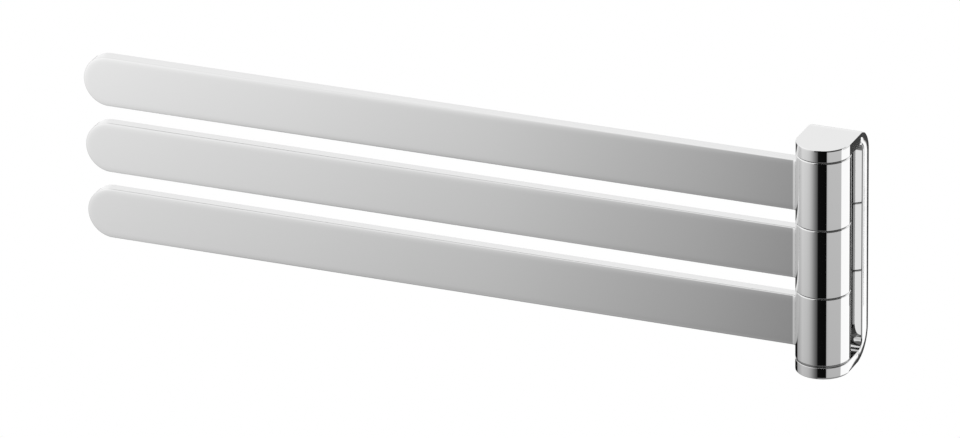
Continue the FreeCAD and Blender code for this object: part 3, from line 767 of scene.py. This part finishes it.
def strap_half(radius, axis_y, height, mouth, bend, swell):
    """Rings of points across the strap, from the round front of a plate to the back."""
    bend_start = -BACK - BEND_INSIDE
    stations = [("tip", QUARTER_TURN * k / CAP_STEPS) for k in range(CAP_STEPS, 0, -1)]
    stations += [("plate", axis_y + (bend_start - axis_y) * k / PLATE_STEPS)
                 for k in range(PLATE_STEPS + 1)]
    stations += [("bend", QUARTER_TURN * k / BEND_STEPS) for k in range(BEND_STEPS + 1)]

    def spot(kind, at, layer, side):
        face, depth, inset = layer
        z = height - depth if face == "out" else mouth + depth
        x, y = radius - inset, at
        if kind == "tip":
            x, y = (radius - inset) * math.cos(at), axis_y - (radius - inset) * math.sin(at)
        elif kind == "bend":
            outer = np.array([-bend + bend * math.sin(at), height - bend + bend * math.cos(at)])
            inner = np.array([bend_start + BEND_INSIDE * math.sin(at),
                              mouth - BEND_INSIDE + BEND_INSIDE * math.cos(at)])
            across = (inner - outer) / np.linalg.norm(inner - outer)
            y, z = outer + across * depth if face == "out" else inner - across * depth
        return (side * x, y, z)

    rings = []
    gain, middle, spread = swell
    for kind, at in stations:
        # Place along the bend: 0 where it starts, 1 at the back, and out of its reach at the tip.
        along = {"tip": -math.inf, "plate": (at + BACK + BEND_INSIDE) / (QUARTER_TURN * bend),
                 "bend": at / QUARTER_TURN}[kind]
        back = max(along, 0)
        layers = strap_layers(between(MOUTH_EDGE, BACK_EDGE, back),
                              1 + gain * math.exp(-((along - middle) / spread) ** 2), back)
        rings.append([spot(kind, at, layer, 1) for layer in layers]
                     + [spot(kind, at, layer, -1) for layer in reversed(layers)])
    return rings


def wall_bracket():
    """The strap along its path, with the hollow for the mounting plate and the holes for the screws."""
    low, high = corners("wall_bracket")
    radius, foot = high[0], -low[2]
    axis_y, mouth = low[1] + radius, -corners("base_ring")[0][2]
    rings = strap_half(radius, axis_y, high[2], mouth, TOP_BEND, TOP_SWELL)
    rings += [[(x, y, -z) for x, y, z in ring]
              for ring in reversed(strap_half(radius, axis_y, foot, mouth, FOOT_BEND, FOOT_SWELL))]
    bracket = new_object("bracket_strap", *skin(rings))
    weld(bracket.data)

    def on_back(u, v, level):
        return (u, level, v)

    def upright(y):
        return lambda u, v, level: (u, y + v, level)

    half_wide, half_high, corner, depth = CAVITY
    cut(bracket, slab_outline(half_wide, half_high, corner),
        [(PROUD, RIM), (0, RIM), (-RIM, 0), (-depth, 0)], on_back)
    cut(bracket, round_outline(LOCK_HOLE),
        [(-foot, 0), (LOCK_REACH - half_high, 0)], upright(LOCK_AXIS))
    screw_floor = corners("spindle_screw")[0][2] + HEAD_HIGH
    seat_floor, seat_roof = (end[2] for end in corners("pivot_spindle"))
    cut(bracket, round_outline(COUNTERBORE, COUNTERBORE_STEPS),
        [(-foot - PROUD, RIM), (-foot, RIM), (RIM - foot, 0), (screw_floor, 0)], upright(axis_y))
    cut(bracket, round_outline(SCREW_PASSAGE),
        [(screw_floor - OVERLAP, 0), (PASSAGE_REACH - mouth, 0)], upright(axis_y))
    for floor, opening in ((seat_floor, OVERLAP - mouth), (seat_roof, mouth - OVERLAP)):
        cut(bracket, round_outline(SPINDLE_SEAT), [(floor, 0), (opening, 0)], upright(axis_y))
    dress(bracket, "wall_bracket", "bracket", "polished_chrome")


# ------------------------------------------------------------ screws

SHANK, SHANK_CHAMFER = 2.45 * MM, 0.5 * MM
SOCKET, SOCKET_DEEP = 1.5 * MM, 1.8 * MM             # half width over the flats, and depth
MOUTH_WIDE, MOUTH_DEEP = 0.3 * MM, 0.25 * MM         # chamfer of the socket
HEAD_ROUND, LOCK_ROUND = 0.3 * MM, 0.4 * MM          # round of each screw's lower edge
SCREW_STEPS, HEAD_STEPS = 96, 4                      # round a screw, and round the edge of its head
SIXTH_TURN = math.pi / 3


def socket_screw(name, node, head_high, head_round):
    """Screw with a hexagon socket in its lower end, as rings of points round its axis."""
    low, high = corners(node)
    head, axis_y = (high[0] - low[0]) / 2, (low[1] + high[1]) / 2
    foot, top = low[2], high[2]
    # Radius or half width, height, and whether the ring is a hexagon.
    profile = [(0.0, foot + SOCKET_DEEP + 0.5 * SOCKET, False), (SOCKET, foot + SOCKET_DEEP, True),
               (SOCKET, foot + MOUTH_DEEP, True), (SOCKET + MOUTH_WIDE, foot, False)]
    profile += [(head - head_round * (1 - sin), foot + head_round * (1 - cos), False)
                for sin, cos in quarter(HEAD_STEPS)]
    if head_high:
        profile += [(head - head_round * (1 - sin), foot + head_high - head_round * (1 - cos), False)
                    for sin, cos in reversed(quarter(HEAD_STEPS))]
        profile.append((SHANK, foot + head_high, False))
    profile += [(SHANK, top - SHANK_CHAMFER, False), (SHANK - SHANK_CHAMFER, top, False),
                (0.0, top, False)]
    rings = []
    for radius, z, hexagon in profile:
        ring = []
        for k in range(SCREW_STEPS):
            turn = 2 * math.pi * k / SCREW_STEPS
            reach = radius / math.cos(turn % SIXTH_TURN - SIXTH_TURN / 2) if hexagon else radius
            ring.append((reach * math.cos(turn), axis_y + reach * math.sin(turn), z))
        rings.append(ring)
    screw = new_object(name, *skin(rings))
    dress(screw, node, "bracket", "screw_steel", sharp=25)


# ------------------------------------------------------------ hubs

FLARE = 2.4 * MM                           # radius of the fillets where the boss leaves the sleeve
HUB_RIM, HUB_FOOT = 0.8 * MM, 0.35 * MM    # rounds of the sleeve's upper and lower edge
LINER_SEAT = 5.3 * MM                      # radius of the bore
FLARE_POINTS, BUTT_STEPS, SLEEVE_POINTS, FOOT_STEPS = 19, 6, 120, 3


def bar_fall(drop):
    """How far the bar's face lies back at a height under its upper edge."""
    round_off = BAR_EDGE - math.sqrt(max(BAR_EDGE ** 2 - max(BAR_EDGE - drop, 0) ** 2, 0))
    near = max((BAR_EDGE + BAR_CROWN - drop) / BAR_CROWN, 0)
    return BAR_SAG * near ** 3 + round_off


def boss_outline(butt, wide, root):
    """Points round the boss, seen from above: kind, x, y from the axis, and outward normal."""
    flare = []
    for share in np.linspace(0, 1, FLARE_POINTS):
        turn = between(root, QUARTER_TURN, share)
        flare.append(("flare", butt + FLARE * math.cos(turn), -wide - FLARE + FLARE * math.sin(turn),
                      (-math.cos(turn), -math.sin(turn))))
    end = [("butt", butt, wide * (2 * k / BUTT_STEPS - 1), (-1, 0)) for k in range(1, BUTT_STEPS)]
    return flare + end + [("flare", x, -y, (nx, -ny)) for _, x, y, (nx, ny) in reversed(flare)]


def hub(arm):
    """Sleeve and flared boss, as upright columns of points round the outline; returns its butt."""
    low, high = corners(f"{arm}_hub")
    arm_low, arm_high = corners(f"{arm}_arm")
    radius, half = high[0], (high[2] - low[2]) / 2
    axis_y, middle = high[1] - radius, (arm_low[2] + arm_high[2]) / 2
    wide, tall = (arm_high[1] - arm_low[1]) / 2, (arm_high[2] - arm_low[2]) / 2
    butt = -math.sqrt((radius + FLARE) ** 2 - (wide + FLARE) ** 2)
    root = math.atan2(wide + FLARE, -butt)           # from -X to where the flare leaves the sleeve
    outline = boss_outline(butt, wide, root)
    turns = math.pi + root - 2 * root * np.linspace(0, 1, len(outline))
    columns = list(zip(turns, outline))
    columns += [(turn, None)
                for turn in np.linspace(math.pi - root, -math.pi + root, SLEEVE_POINTS)[1:-1]]

    drops = [BAR_EDGE * (1 - cos) for sin, cos in quarter(ROUND_STEPS)]
    drops += [BAR_EDGE + BAR_CROWN * k / CROWN_STEPS for k in range(1, CROWN_STEPS + 1)]
    upper = [(LINER_SEAT, half)]                     # radius and height of each layer of the sleeve
    upper += [(radius - HUB_RIM * (1 - sin), half - HUB_RIM * (1 - cos))
              for sin, cos in quarter(ROUND_STEPS)]
    upper.append((radius, tall))
    lower = [(radius, -tall)]
    lower += [(radius - HUB_FOOT * (1 - sin), HUB_FOOT * (1 - cos) - half)
              for sin, cos in reversed(quarter(FOOT_STEPS))]
    lower.append((LINER_SEAT, -half))

    def on_sleeve(turn, reach, z):
        return (reach * math.cos(turn), axis_y + reach * math.sin(turn), middle + z)

    def on_boss(turn, shape, drop, z):
        if shape is None:
            return on_sleeve(turn, radius, z)
        kind, x, y, (nx, ny) = shape
        fall = bar_fall(drop)
        if kind == "butt":
            y *= (wide - fall) / wide
        else:
            x, y = x - nx * fall, y - ny * fall
        outside = math.hypot(x, y) > radius
        return (x, axis_y + y, middle + z) if outside else on_sleeve(turn, radius, z)

    rings = []
    for turn, shape in columns:
        rings.append([on_sleeve(turn, *layer) for layer in upper]
                     + [on_boss(turn, shape, drop, tall - drop) for drop in drops]
                     + [on_boss(turn, shape, drop, drop - tall) for drop in reversed(drops)]
                     + [on_sleeve(turn, *layer) for layer in lower])
    rings.append(rings[0])
    sleeve = new_object(f"{arm}_hub_sleeve", *skin(rings))
    dress(sleeve, f"{arm}_hub", f"{arm}_rail", "polished_chrome")
    return butt


# ------------------------------------------------------------ build

photo_camera()
soft_daylight()
studio_floor()
studio_panels()

for node in nodes.values():
    for place in node.material_slots:
        for slot in FINISHES:
            if place.material and slot in place.material.name:
                place.material = FINISHES[slot]
                break

wall_bracket()
socket_screw("low_head_screw", "spindle_screw", HEAD_HIGH, HEAD_ROUND)
socket_screw("lock_screw", "bracket_lock_screw", 0, LOCK_ROUND)
flat_bar, ring = arm_tree(), ring_tree()
for arm in ARMS:
    arm_blade(arm, flat_bar, hub(arm))
    turned_ring(f"{arm}_slip_washer", f"{arm}_thrust_washer", ring, WASHER_BORE, WASHER_EDGE,
                "bracket", "washer_plastic")
    turned_ring(f"{arm}_liner_sleeve", f"{arm}_liner", ring, LINER_BORE, LINER_EDGE,
                f"{arm}_rail", "liner_plastic")
turned_ring("foot_ring", "base_ring", ring, BASE_BORE, BASE_EDGE, "bracket", "ring_steel")
